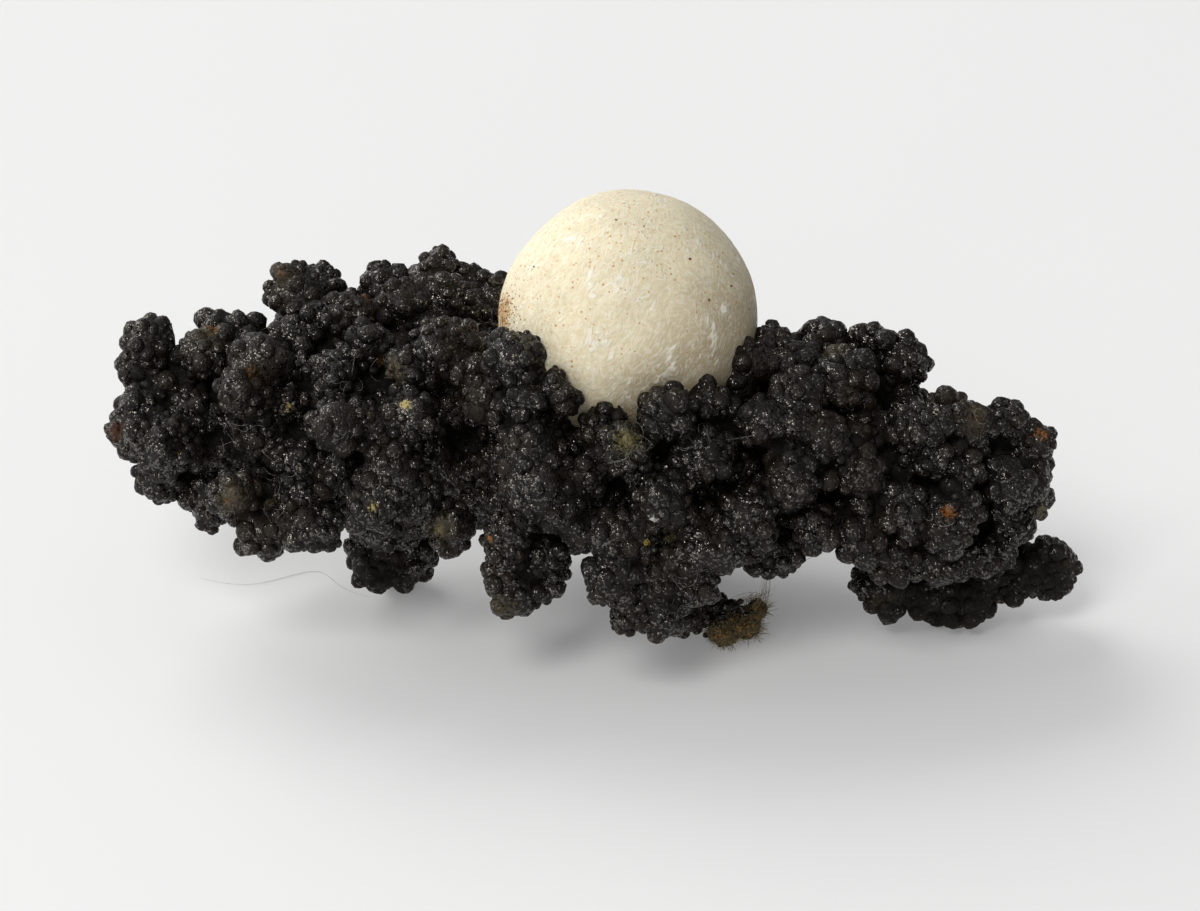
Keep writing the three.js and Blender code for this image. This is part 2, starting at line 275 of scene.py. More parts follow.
class AragoniteSettings(PropertyGroup):
    relief: FloatProperty(
        name="Relief", description="Height of the ball's felted relief",
        default=0.000012, min=0.0, max=0.0001, unit="LENGTH", subtype="DISTANCE", precision=6,
    )
    cream: FloatVectorProperty(
        name="Cream", description="Main colour of the ball", subtype="COLOR", size=3,
        default=(0.840, 0.755, 0.540), min=0.0, max=1.0,
    )
    white: FloatVectorProperty(
        name="White", description="Colour of the satin streaks", subtype="COLOR", size=3,
        default=(0.90, 0.87, 0.76), min=0.0, max=1.0,
    )
    tan: FloatVectorProperty(
        name="Tan", description="Colour of the fine specks", subtype="COLOR", size=3,
        default=(0.55, 0.25, 0.065), min=0.0, max=1.0,
    )


class EarthSettings(PropertyGroup):
    fibres: IntProperty(name="Fibres", description="Number of fibres in the clump", default=900, min=0)
    fibre_radius: FloatProperty(
        name="Fibre radius", description="Radius of a fibre at its root",
        default=0.000008, min=0.000003, max=0.00005, unit="LENGTH", subtype="DISTANCE", precision=6,
    )
    earth: FloatVectorProperty(
        name="Earth", description="Colour of the earth", subtype="COLOR", size=3,
        default=(0.13, 0.092, 0.036), min=0.0, max=1.0,
    )
    straw: FloatVectorProperty(
        name="Straw", description="Colour of the fibres", subtype="COLOR", size=3,
        default=(0.24, 0.20, 0.105), min=0.0, max=1.0,
    )
    lint: FloatVectorProperty(
        name="Lint", description="Colour of the loose lint", subtype="COLOR", size=3,
        default=(0.44, 0.42, 0.37), min=0.0, max=1.0,
    )


class StageSettings(PropertyGroup):
    floor: FloatVectorProperty(
        name="Floor", description="Colour of the floor", subtype="COLOR", size=3,
        default=(0.700, 0.703, 0.711), min=0.0, max=1.0,
    )
    # Painted light: the floor glows of itself to lighten the shadows on it.
    glow: FloatProperty(
        name="Floor glow", description="Light that the pale sheet lets through", default=0.155, min=0.0,
    )
    back: FloatProperty(
        name="Back light", description="Power of the soft light behind the left end, in watts",
        default=13.8, min=0.0,
    )
    front: FloatProperty(
        name="Front light", description="Power of the soft light before the left end, in watts",
        default=11.5, min=0.0,
    )
    left: FloatProperty(
        name="Left light", description="Power of the low soft light off the left end, in watts",
        default=7.2, min=0.0,
    )
    fill: FloatProperty(
        name="Fill light", description="Power of the low wide light under the viewing point, in watts",
        default=3.9, min=0.0,
    )
    ambient: FloatProperty(
        name="Ambient", description="Strength of the light from all round", default=0.24, min=0.0,
    )


# ---- Meshes -----------------------------------------------------------------------------------------


def keep(name, mesh, material, replaced=()):
    """Adds a finished mesh as a piece that rides on the specimen."""
    mesh.materials.clear()
    mesh.materials.append(material)
    piece = bpy.data.objects.new(name, mesh)
    bpy.context.scene.collection.objects.link(piece)
    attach(piece, "root")
    if replaced:
        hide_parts(*replaced)
    return piece


def mesh_of(name, corners, triangles):
    """A smooth mesh in metres from corners in millimetres."""
    mesh = bpy.data.meshes.new(name)
    mesh.vertices.add(len(corners))
    mesh.vertices.foreach_set("co", (np.asarray(corners) * MM).ravel())
    mesh.loops.add(3 * len(triangles))
    mesh.loops.foreach_set("vertex_index", np.asarray(triangles, dtype=np.int32).ravel())
    mesh.polygons.add(len(triangles))
    mesh.polygons.foreach_set("loop_start", np.arange(0, 3 * len(triangles), 3, dtype=np.int32))
    mesh.update(calc_edges=True)
    mesh.shade_smooth()
    return mesh


def arrays_of(mesh):
    """Corners in the mesh's own unit, and its triangles."""
    corners = np.empty(3 * len(mesh.vertices))
    mesh.vertices.foreach_get("co", corners)
    mesh.calc_loop_triangles()
    triangles = np.empty(3 * len(mesh.loop_triangles), dtype=np.int32)
    mesh.loop_triangles.foreach_get("vertices", triangles)
    return corners.reshape(-1, 3), triangles.reshape(-1, 3)


def evaluated_mesh(holder):
    """The mesh that a helper object gives with its modifiers, after which the helper is removed."""
    bpy.context.scene.collection.objects.link(holder)
    graph = bpy.context.evaluated_depsgraph_get()
    mesh = bpy.data.meshes.new_from_object(holder.evaluated_get(graph))
    bpy.data.objects.remove(holder)
    return mesh


def in_millimetres(node):
    """A CAD node's merged mesh as a bmesh in millimetres."""
    body = bmesh.new()
    body.from_mesh(frame["nodes"][node].data)
    bmesh.ops.scale(body, vec=(1 / MM,) * 3, verts=body.verts)
    bmesh.ops.remove_doubles(body, verts=body.verts, dist=0.0005)
    return body


def evenly_meshed(body, voxel, smoothing):
    """A bmesh joined into one even closed mesh and smoothed. The given bmesh is freed."""
    mesh = bpy.data.meshes.new("body")
    body.to_mesh(mesh)
    body.free()
    holder = bpy.data.objects.new("body", mesh)
    remesh = holder.modifiers.new("Remesh", "REMESH")
    remesh.mode = "VOXEL"
    remesh.voxel_size = voxel
    even = bmesh.new()
    even.from_mesh(evaluated_mesh(holder))
    smooth(even, smoothing)
    return even


def thinned(corners, triangles, most):
    """Corners and triangles of a surface brought down to at most that many triangles."""
    if len(triangles) <= most:
        return corners, triangles
    holder = bpy.data.objects.new("thinned", mesh_of("thinned", corners, triangles))
    decimate = holder.modifiers.new("Decimate", "DECIMATE")
    decimate.ratio = most / len(triangles)
    corners, triangles = arrays_of(evaluated_mesh(holder))
    return corners / MM, triangles


def smooth(body, rounds):
    """Evens a bmesh out, each round halfway to the middle of its neighbours."""
    for _ in range(rounds):
        bmesh.ops.smooth_vert(
            body, verts=body.verts, factor=0.5, use_axis_x=True, use_axis_y=True, use_axis_z=True
        )
    body.normal_update()


def depths_between(body, rounds):
    """How deep each vertex lies below the smoothed surface, above zero in valleys."""
    before = [(vertex.co.copy(), vertex.normal.copy()) for vertex in body.verts]
    smooth(body, rounds)
    depths = [(vertex.co - place).dot(normal) for vertex, (place, normal) in zip(body.verts, before)]
    for vertex, (place, _) in zip(body.verts, before):
        vertex.co = place
    body.normal_update()
    return np.array(depths)


def roughened(body, roughening, inset):
    """Moves each vertex in by the inset and unevenly in or out, but not below the ground."""
    for vertex in body.verts:
        swell = roughening * noise.fractal(vertex.co * 1.3, 1.0, 2.0, 3)
        vertex.co += vertex.normal * (swell - inset)
        vertex.co.z = max(vertex.co.z, 0.0)


def finished_arrays(body):
    """Corners and triangles of a bmesh, which is freed."""
    bmesh.ops.triangulate(body, faces=body.faces)
    mesh = bpy.data.meshes.new("triangles")
    body.to_mesh(mesh)
    body.free()
    return arrays_of(mesh)


def deepened(body, rounds, share, most):
    """Cuts the valleys deeper, least where they cross the outline, and gives how deep each vertex lay."""
    depths = depths_between(body, rounds)
    for vertex, depth in zip(body.verts, depths):
        facing = 0.25 + 0.75 * abs(vertex.normal.dot(VIEW))
        vertex.co -= vertex.normal * min(max(depth, 0.0) * share, most) * facing
    body.normal_update()
    return depths


def aimed_at(right, rise):
    """The point at (right, rise) on the facing plane, and the direction to it from the viewing point."""
    target = AIM + float(right) * RIGHT + float(rise) * RISE
    return target, (target - VIEWPOINT).normalized()


def hollowed(body):
    """Pushes the surface in at the dark hollows."""
    tree = BVHTree.FromBMesh(body)
    for right, rise, radius, depth in HOLLOWS:
        floor = seen_place(tree, right, rise)
        for vertex in body.verts:
            offset = vertex.co - floor
            behind = offset.dot(VIEW)
            aside = (offset - behind * VIEW).length / radius
            if aside < 1 and abs(behind) < 1.5:
                vertex.co += VIEW * depth * (1 - aside * aside) ** 2
    body.normal_update()


def outline_swelled(body):
    """Moves the outline out or in where it needs it."""
    for right, rise, radius, swell in OUTLINE_SWELLS:
        _, sight = aimed_at(right, rise)
        for vertex in body.verts:
            offset = vertex.co - VIEWPOINT
            aside = (offset - offset.dot(sight) * sight).length / radius
            if aside < 1:
                vertex.co += vertex.normal * swell * (1 - aside * aside) ** 2
    body.normal_update()


def swollen(body, depths, limit, level, voxel, scale, random):
    """A body whose surface swells into a crowd of balls. The given body is freed."""
    corners, triangles = finished_arrays(body)
    places, radii = crowd(corners, triangles, depths, limit, level, scale, random)
    shape, faces, _ = crowd_of_balls(places, radii, 3, 0.0, random)
    joined = mesh_of(
        "joined", np.concatenate([corners, shape]) / MM, np.concatenate([triangles, faces + len(corners)])
    )
    body = bmesh.new()
    body.from_mesh(joined)
    return evenly_meshed(body, voxel, 1)


def goethite_mass(settings, random):
    """The mass with its knuckles: corners, triangles, how deep each corner lies between others, and how much
    painted shade each corner gets in the hollows.
    """
    voxel, scale = settings.voxel / MM, settings.grape_scale
    body = evenly_meshed(in_millimetres("goethite"), 1.2 * voxel, LEVEL_ROUNDS)
    rounds, limit, share, most = NODULE_VALLEYS
    depths = deepened(body, rounds, share, most)
    hollowed(body)
    outline_swelled(body)
    roughened(body, 0.05, settings.sinking / MM)
    body = swollen(body, depths, limit, KNUCKLES, voxel, scale, random)
    rounds, limit, share, most = KNUCKLE_VALLEYS
    depths = deepened(body, rounds, share, most)
    for vertex in body.verts:
        vertex.co += vertex.normal * 0.04 * noise.noise(vertex.co * 3.4)
        towards = BALL_CENTRE - vertex.co
        near = towards.length < BALL_RADIUS + SEAT_REACH
        if near and vertex.normal.dot(towards.normalized()) > SEAT_FACING:
            vertex.co = BALL_CENTRE - towards.normalized() * (BALL_RADIUS + SEAT_GAP)
        vertex.co.z = max(vertex.co.z, 0.0)
    # Painted shade: the deeper a corner lies in a hollow, the darker it is coloured.
    hollows = np.clip(depths_between(body, HOLLOW_ROUNDS) / HOLLOW_DEPTH, 0.0, 1.0)
    return *finished_arrays(body), depths, hollows


def knobbly_balls(subdivisions, kinds, unevenness, random):
    """Corners of a few uneven unit balls, and the triangles that they share."""
    ball = bmesh.new()
    bmesh.ops.create_icosphere(ball, subdivisions=subdivisions, radius=1.0)
    ball.verts.index_update()
    corners = np.array([vertex.co[:] for vertex in ball.verts])
    triangles = np.array([[vertex.index for vertex in face.verts] for face in ball.faces])
    ball.free()
    swell = 1 + unevenness * random.uniform(-1, 1, (kinds, len(corners), 1))
    return corners[None] * swell, triangles


def random_turns(count, random):
    """That many random rotation matrices."""
    w, x, y, z = random.normal(size=(count, 4)).T
    length = np.sqrt(w * w + x * x + y * y + z * z)
    w, x, y, z = w / length, x / length, y / length, z / length
    rows = [
        [1 - 2 * (y * y + z * z), 2 * (x * y - w * z), 2 * (x * z + w * y)],
        [2 * (x * y + w * z), 1 - 2 * (x * x + z * z), 2 * (y * z - w * x)],
        [2 * (x * z - w * y), 2 * (y * z + w * x), 1 - 2 * (x * x + y * y)],
    ]
    return np.array(rows).transpose(2, 0, 1)


def crowd_of_balls(places, radii, subdivisions, unevenness, random, stretch=0.12):
    """Corners and triangles of many uneven balls, turned at random, and the ball that owns each corner."""
    kinds, triangles = knobbly_balls(subdivisions, 9, unevenness, random)
    count = len(places)
    shapes = kinds[random.integers(0, len(kinds), count)]
    shapes = shapes * random.uniform(1 - stretch, 1 + stretch, (count, 1, 3))
    shapes = np.einsum("nij,nkj->nki", random_turns(count, random), shapes)
    corners = shapes * radii[:, None, None] + places[:, None, :]
    size = kinds.shape[1]
    faces = triangles[None] + (np.arange(count) * size)[:, None, None]
    owners = np.repeat(np.arange(count), size)
    return corners.reshape(-1, 3), faces.reshape(-1, 3), owners


def fibre_mesh(name, paths, radius, sides=1):
    """Thin round fibres along paths in millimetres, tapering to their ends, as one mesh in metres."""
    curve = bpy.data.curves.new(name, "CURVE")
    curve.dimensions = "3D"
    curve.bevel_depth = radius
    curve.bevel_resolution = sides
    curve.use_fill_caps = True
    curve.resolution_u = 3
    for path in paths:
        spline = curve.splines.new("NURBS")
        spline.points.add(len(path) - 1)
        for index, (point, place) in enumerate(zip(spline.points, path)):
            point.co = (*place, 1.0)
            point.radius = 1.0 - 0.6 * abs(2 * index / (len(path) - 1) - 1) ** 2
        spline.order_u = min(4, len(path))
        spline.use_endpoint_u = True
    mesh = evaluated_mesh(bpy.data.objects.new(name, curve))
    corners, triangles = arrays_of(mesh)
    return mesh_of(name, corners, triangles)


def tree_of(corners, triangles):
    """A search tree of a surface."""
    return BVHTree.FromPolygons(corners.tolist(), triangles.tolist())


def seen_place(tree, right, rise):
    """Where a sight line through (right, rise) first meets the surface, or else the nearest place to it."""
    target, sight = aimed_at(right, rise)
    place = tree.ray_cast(VIEWPOINT, sight)[0]
    return place or tree.find_nearest(target)[0]


# ---- Materials --------------------------------------------------------------------------------------


class Look:
    """One node material whose patterns are measured in millimetres."""

    def __init__(self, name):
        self.material = bpy.data.materials.new(name)
        self.material.use_nodes = True
        self.tree = self.material.node_tree
        self.shader = self.tree.nodes["Principled BSDF"]
        coordinates = self.tree.nodes.new("ShaderNodeTexCoord")
        scale = self.tree.nodes.new("ShaderNodeMapping")
        scale.inputs["Scale"].default_value = (1 / MM,) * 3
        self.link(coordinates.outputs["Object"], scale.inputs["Vector"])
        self.place = scale.outputs["Vector"]

    def link(self, source, socket):
        """Feeds a socket from another socket, or sets it to a value."""
        if isinstance(source, bpy.types.NodeSocket):
            self.tree.links.new(source, socket)
        else:
            socket.default_value = source

    def set(self, **values):
        """Feeds or sets the shader's own sockets, whose names are given with _ for a space."""
        for name, value in values.items():
            self.link(value, self.shader.inputs[name.replace("_", " ")])

    def noise(self, scale, detail=3.0, roughness=0.55, place=None):
        """A smoothly changing number, mostly between 0.3 and 0.7."""
        node = self.tree.nodes.new("ShaderNodeTexNoise")
        self.link(place or self.place, node.inputs["Vector"])
        node.inputs["Scale"].default_value = scale
        node.inputs["Detail"].default_value = detail
        node.inputs["Roughness"].default_value = roughness
        return node.outputs["Fac"]

    def colours(self, scale):
        """A smoothly changing colour, each channel from 0 to 1."""
        node = self.tree.nodes.new("ShaderNodeTexNoise")
        self.link(self.place, node.inputs["Vector"])
        node.inputs["Scale"].default_value = scale
        return node.outputs["Color"]

    def cells(self, scale):
        """Distance to the nearest cell point, and the random colour of the cell."""
        node = self.tree.nodes.new("ShaderNodeTexVoronoi")
        self.link(self.place, node.inputs["Vector"])
        node.inputs["Scale"].default_value = scale
        return node.outputs["Distance"], node.outputs["Color"]

    def attribute(self, name):
        """The node that reads a value kept on the mesh."""
        node = self.tree.nodes.new("ShaderNodeAttribute")
        node.attribute_name = name
        return node

    def sums(self, operation, first, second=0.0, third=0.0, clamp=False):
        """A number worked out from up to three numbers."""
        node = self.tree.nodes.new("ShaderNodeMath")
        node.operation = operation
        node.use_clamp = clamp
        self.link(first, node.inputs[0])
        self.link(second, node.inputs[1])
        self.link(third, node.inputs[2])
        return node.outputs[0]

    def vectors(self, operation, first, second=(0.0, 0.0, 0.0), scale=1.0):
        """A vector, or its length or product, worked out from up to two vectors."""
        node = self.tree.nodes.new("ShaderNodeVectorMath")
        node.operation = operation
        self.link(first, node.inputs[0])
        self.link(second, node.inputs[1])
        if operation == "SCALE":
            self.link(scale, node.inputs["Scale"])
        single = operation in ("DOT_PRODUCT", "DISTANCE", "LENGTH")
        return node.outputs["Value" if single else "Vector"]

    def step(self, value, low, high, start=0.0, end=1.0):
        """Start below low, end above high, and a straight run between."""
        node = self.tree.nodes.new("ShaderNodeMapRange")
        self.link(value, node.inputs["Value"])
        node.inputs["From Min"].default_value = low
        node.inputs["From Max"].default_value = high
        self.link(start, node.inputs["To Min"])
        self.link(end, node.inputs["To Max"])
        return node.outputs["Result"]

    def mix(self, share, first, second):
        """A colour between two colours."""
        node = self.tree.nodes.new("ShaderNodeMix")
        node.data_type = "RGBA"
        self.link(share, node.inputs["Factor"])
        for colour, socket in ((first, node.inputs["A"]), (second, node.inputs["B"])):
            self.link(colour if isinstance(colour, bpy.types.NodeSocket) else (*colour, 1.0), socket)
        return node.outputs["Result"]

    def split(self, colour):
        """The three channels of a colour."""
        node = self.tree.nodes.new("ShaderNodeSeparateColor")
        self.link(colour, node.inputs["Color"])
        return node.outputs["Red"], node.outputs["Green"], node.outputs["Blue"]

    def tilted(self, colour, amount):
        """The surface normal, tilted by a cell's random colour, as on a small crystal face."""
        geometry = self.tree.nodes.new("ShaderNodeNewGeometry")
        turn = self.vectors("SUBTRACT", colour, (0.5, 0.5, 0.5))
        turn = self.vectors("SCALE", turn, scale=amount)
        return self.vectors("NORMALIZE", self.vectors("ADD", geometry.outputs["Normal"], turn))

    def bump(self, height, depth, strength=1.0, normal=None):
        """A bump whose full height is depth millimetres."""
        node = self.tree.nodes.new("ShaderNodeBump")
        self.link(height, node.inputs["Height"])
        node.inputs["Distance"].default_value = depth * MM
        node.inputs["Strength"].default_value = strength
        if normal:
            self.link(normal, node.inputs["Normal"])
        return node.outputs["Normal"]


def goethite_look(settings):
    """Black, finely crystalline and glittering, browner in places, with earthy stains, and with painted
    shade in the hollows and on the feet that lie in shade.
    """
    look = Look("goethite_black")
    tone = look.attribute("tone").outputs["Fac"]
    hollow = look.attribute("hollow").outputs["Fac"]
    stain_and_shade = look.attribute("stain_and_shade")
    patches = look.sums("ADD", look.step(look.noise(0.32, 4.0), 0.42, 0.66), look.step(tone, 0.72, 1.0))
    colour = look.mix(look.sums("MULTIPLY", patches, 0.6, clamp=True), settings.black, settings.brown)
    clumps = look.noise(8.0, 4.0, 0.7)
    share = look.sums("MULTIPLY_ADD", clumps, 3.2, look.sums("SUBTRACT", stain_and_shade.outputs["Alpha"], 2.02))
    share = look.step(share, 0.0, 0.5, 0.0, 0.8)
    colour = look.mix(share, colour, stain_and_shade.outputs["Color"])
    # Painted shade: near black in the hollows and on the shaded feet, which also get fewer glints and a
    # rougher surface.
    colour = look.mix(look.sums("MULTIPLY", hollow, 0.75), colour, (0.002, 0.0018, 0.0015))
    coarse, coarse_colour = look.cells(6.5)
    fine, fine_colour = look.cells(11.0)
    turn = look.vectors("ADD", coarse_colour, fine_colour)
    turn = look.vectors("SUBTRACT", turn, (0.5, 0.5, 0.5))
    chosen, shade, _ = look.split(fine_colour)
    glitter = look.step(look.noise(1.1, 2.0), 0.35, 0.65, -0.22, 0.16)
    chosen = look.sums("MULTIPLY_ADD", hollow, -0.35, look.sums("ADD", chosen, glitter))
    mirror = look.step(chosen, 0.66, 0.70)
    mirror = look.sums("MULTIPLY", mirror, look.sums("SUBTRACT", 1.0, share))
    normal = look.tilted(turn, look.step(mirror, 0.0, 1.0, 0.32, 0.65))
    height = look.sums("ADD", look.sums("MULTIPLY", coarse, -1.0), look.sums("MULTIPLY", fine, -0.5))
    normal = look.bump(height, 0.042, 0.9, normal)
    colour = look.mix(mirror, colour, (0.112, 0.105, 0.095))
    roughness = look.step(shade, 0.0, 1.0, 0.36, 0.68)
    roughness = look.sums("MULTIPLY_ADD", hollow, 0.35, roughness, clamp=True)
    roughness = look.step(mirror, 0.0, 1.0, roughness, 0.19)
    look.set(Base_Color=colour, Roughness=roughness, Metallic=mirror, Normal=normal)
    look.set(IOR=1.5, Specular_IOR_Level=0.22)
    return look.material


def aragonite_look(settings, dirt):
    """Cream-white, satin and finely felted, with white flecks, tan specks and dirt at one place, and painted
    shade that turns it darker tan towards the lower right.
    """
    look = Look("aragonite_cream")

    def along(direction, wander):
        """Coordinates that are drawn out along a direction."""
        across = VIEW.cross(direction).normalized()
        parts = look.tree.nodes.new("ShaderNodeCombineXYZ")
        bent = look.vectors("ADD", look.place, look.vectors("SCALE", look.colours(0.7), scale=wander))
        lengthwise = look.vectors("DOT_PRODUCT", bent, tuple(direction))
        look.link(look.sums("MULTIPLY", lengthwise, 0.4), parts.inputs[0])
        look.link(look.vectors("DOT_PRODUCT", bent, tuple(across)), parts.inputs[1])
        look.link(look.vectors("DOT_PRODUCT", bent, tuple(VIEW)), parts.inputs[2])
        return parts.outputs["Vector"]

    steep = along((RIGHT * 0.35 + RISE * 0.94).normalized(), 0.8)
    slant = along((RIGHT * 0.80 + RISE * 0.60).normalized(), 1.0)
    fine = look.sums("MAXIMUM", look.noise(7.0, 4.0, 0.65, steep), look.noise(6.0, 4.0, 0.65, slant))
    flecks = look.sums("MAXIMUM", look.noise(2.6, 3.0, 0.6, steep), look.noise(2.1, 3.0, 0.6, slant))
    patches = look.noise(0.9, 2.0)
    flecks = look.step(look.sums("MULTIPLY_ADD", patches, 0.50, flecks), 0.88, 0.99)
    clouds = look.noise(0.5, 3.0)

    def towards(direction):
        """Zero at the ball's centre, rising along a direction by the direction's length at its surface."""
        direction = direction / BALL_RADIUS
        reach = look.vectors("DOT_PRODUCT", look.place, tuple(direction))
        return look.sums("SUBTRACT", reach, direction.dot(BALL_CENTRE))

    # Painted shade: darker tan towards the lower right, the side turned away from the lights; the clouds add
    # random tan patches.
    low = towards(RIGHT * 0.65 - RISE * 0.65)
    shade = look.step(low, 0.08, 0.50, 0.0, 0.90)
    shade = look.sums("ADD", shade, look.step(clouds, 0.40, 0.70, 0.0, 0.30), clamp=True)
    colour = look.mix(shade, settings.cream, (0.39, 0.32, 0.20))
    colour = look.mix(look.step(fine, 0.38, 0.58, 0.38, 0.0), colour, (0.56, 0.46, 0.29))
    colour = look.mix(look.step(fine, 0.50, 0.70, 0.0, 0.55), colour, settings.white)
    colour = look.mix(look.sums("MULTIPLY", flecks, 0.8), colour, settings.white)

    distance, cell_colour = look.cells(5.6)
    chosen, size, tint = look.split(cell_colour)
    high = towards((RISE - RIGHT * 0.7).normalized())
    plenty = look.step(high, -0.5, 0.9, 0.16, 0.85)
    plenty = look.sums("MULTIPLY", plenty, look.step(look.noise(0.8, 2.0), 0.35, 0.60, 0.4, 1.2))
    speck = look.sums("LESS_THAN", distance, look.step(size, 0.0, 1.0, 0.10, 0.32))
    speck = look.sums("MULTIPLY", speck, look.sums("LESS_THAN", chosen, plenty))
    speck = look.sums("MULTIPLY", speck, look.step(tint, 0.0, 1.0, 0.35, 0.9))
    colour = look.mix(speck, colour, settings.tan)
    near = look.step(look.vectors("DISTANCE", look.place, dirt), 0.3, 1.7, 1.0, 0.0)
    dirty = look.sums("MULTIPLY_ADD", look.noise(7.0, 4.0, 0.7), 2.4, look.sums("SUBTRACT", near, 1.75))
    colour = look.mix(look.step(dirty, 0.0, 0.30, 0.0, 0.75), colour, (0.50, 0.25, 0.075))
    normal = look.bump(look.sums("MULTIPLY_ADD", flecks, 0.5, fine), 0.065, 0.9)
    roughness = look.step(flecks, 0.0, 1.0, 0.62, 0.32)
    look.set(Base_Color=colour, Roughness=roughness, Normal=normal, IOR=1.5, Specular_IOR_Level=0.35)
    look.set(Subsurface_Weight=0.35, Subsurface_Radius=(0.0016, 0.0012, 0.0007))
    return look.material


def earth_look(settings):
    """Dull olive-brown earth, speckled darker, with orange grains."""
    look = Look("earth_olive")
    distance, cell_colour = look.cells(11.0)
    chosen, shade, tint = look.split(cell_colour)
    mottles = look.step(look.noise(3.5, 4.0, 0.65), 0.40, 0.60, 0.0, 0.7)
    mottles = look.sums("ADD", mottles, look.step(shade, 0.30, 0.40, 0.6, 0.0), clamp=True)
    colour = look.mix(mottles, settings.earth, (0.030, 0.022, 0.011))
    colour = look.mix(look.step(tint, 0.65, 1.0, 0.0, 0.6), colour, settings.straw)
    colour = look.mix(look.step(chosen, 0.90, 0.93, 0.0, 0.85), colour, (0.46, 0.20, 0.035))
    normal = look.bump(look.sums("ADD", look.noise(14.0, 4.0), distance), 0.05, 0.9)
    look.set(Base_Color=colour, Roughness=0.9, Normal=normal, IOR=1.45)
    return look.material


def fibre_look(name, colour, dark):
    """A thin dull fibre, lighter and darker along its length."""
    look = Look(name)
    shade = look.step(look.noise(2.2, 3.0), 0.35, 0.65)
    look.set(Base_Color=look.mix(shade, colour, dark), Roughness=0.7, IOR=1.5)
    return look.material


def grain_look(name, light, dark):
    """Small dull grains, each its own shade."""
    look = Look(name)
    shade = look.attribute("tone").outputs["Fac"]
    colour = look.mix(shade, light, dark)
    normal = look.bump(look.noise(20.0, 3.0), 0.02, 0.6)
    look.set(Base_Color=colour, Roughness=0.75, Normal=normal, IOR=1.5)
    return look.material


def floor_look(settings):
    """A pale, slightly glossy sheet with a faint unevenness, which glows of itself as painted light that
    lightens the shadows on it.
    """
    look = Look("pale_sheet")
    tint = tuple(channel * 0.985 for channel in settings.floor)
    colour = look.mix(look.noise(0.05, 2.0), settings.floor, tint)
    look.set(Base_Color=colour, Roughness=0.42, IOR=1.4)
    # Painted light: the floor's own glow.
    look.set(Emission_Color=(1.0, 1.0, 1.0, 1.0), Emission_Strength=settings.glow)
    return look.material


# ---- Pieces -----------------------------------------------------------------------------------------


def values_at(places, tree, triangles, values):
    """The values that a surface's corners have nearest to each place."""
    shares = values[triangles].mean(axis=1)
    return np.array([shares[tree.find_nearest(place)[2]] for place in places])


def store(mesh, name, values):
    """Stores a number for each corner."""
    attribute = mesh.attributes.new(name, "FLOAT", "POINT")
    attribute.data.foreach_set("value", values.astype(np.float32))


def stained_and_shaded(mesh, corners, tree, hollows, tones):
    """Stores each corner's stains and painted foot shade, as a colour whose alpha is the amount, its painted
    shade and dulling from the hollows and the feet, and its tone.
    """
    colours = np.zeros((len(corners), 4), dtype=np.float32)
    shade_and_dulling = hollows.copy()
    for name, spots in STAINS_AND_FOOT_SHADE.items():
        for right, rise, radius in spots:
            place = seen_place(tree, right, rise)
            away = np.linalg.norm(corners - np.array(place), axis=1) / (0.8 * radius + 0.12)
            amount = np.clip(1.2 - away, 0, 0.9)
            if name == "dust":
                amount *= 0.9
            # painted shade: these marks darken and dull the feet, just as the hollows are darkened and
            # dulled
            if name in SHADING_AND_DULLING:
                shade_and_dulling = np.maximum(shade_and_dulling, amount)
            stronger = amount > colours[:, 3]
            colours[stronger, :3] = STAIN_AND_SHADE_COLOURS[name]
            colours[stronger, 3] = amount[stronger]
    stain_and_shade = mesh.attributes.new("stain_and_shade", "FLOAT_COLOR", "POINT")
    stain_and_shade.data.foreach_set("color", colours.ravel())
    store(mesh, "tone", tones)
    store(mesh, "hollow", shade_and_dulling)


def measured(corners, triangles):
    """Each triangle's three corners, its normal as long as twice its area, and twice its area."""
    a, b, c = (corners[triangles[:, index]] for index in range(3))
    normals = np.cross(b - a, c - a)
    return (a, b, c), normals, np.linalg.norm(normals, axis=1)


def candidates(corners, triangles, depths, limit, bands, random):
    """Places, directions and radii of possible balls on a surface, outside its valleys and the seat."""
    (a, b, c), normals, twice = measured(corners, triangles)
    areas = twice / 2
    normals /= twice[:, None] + 1e-12
    depth = depths[triangles].mean(axis=1)
    parts = []
    for low, high, per_area in bands:
        count = int(areas.sum() * per_area)
        picks = random.choice(len(triangles), count, p=areas / areas.sum())
        u = np.sqrt(random.random((count, 1)))
        v = random.random((count, 1))
        place = a[picks] * (1 - u) + b[picks] * u * (1 - v) + c[picks] * u * v
        parts.append((place, normals[picks], random.uniform(low, high, count), depth[picks]))
    places, directions, radii, depth = (np.concatenate(column) for column in zip(*parts))
    region = np.array([noise.noise(Vector(place) * 0.22) for place in places])
    radii = radii * (1 + 0.35 * region)
    towards = np.array(BALL_CENTRE) - places
    distance = np.linalg.norm(towards, axis=1)
    facing = (directions * towards).sum(axis=1) / distance
    seat = (facing > SEAT_FACING) & (distance < BALL_RADIUS + SEAT_REACH)
    free = ~seat & (depth < limit)
    return places[free], directions[free], radii[free]


def with_room_in_front(places, directions, radii, tree):
    """Which candidates have no other part of the surface close in front of them."""
    free = []
    for place, direction, radius in zip(places, directions, radii):
        start = Vector(place + 0.12 * direction)
        free.append(tree.ray_cast(start, Vector(direction), 1.1 * radius)[0] is None)
    return np.array(free)


def crowded(places, radii, spacing):
    """Which candidates stay when the largest take their room first."""
    tree = KDTree(len(places))
    for index, place in enumerate(places):
        tree.insert(place, index)
    tree.balance()
    alive = np.ones(len(places), dtype=bool)
    largest = radii.max()
    stay = []
    for index in np.argsort(-radii, kind="stable"):
        if not alive[index]:
            continue
        stay.append(index)
        for _, other, away in tree.find_range(places[index], (radii[index] + largest) * spacing):
            if away < (radii[index] + radii[other]) * spacing:
                alive[other] = False
    return np.array(stay)


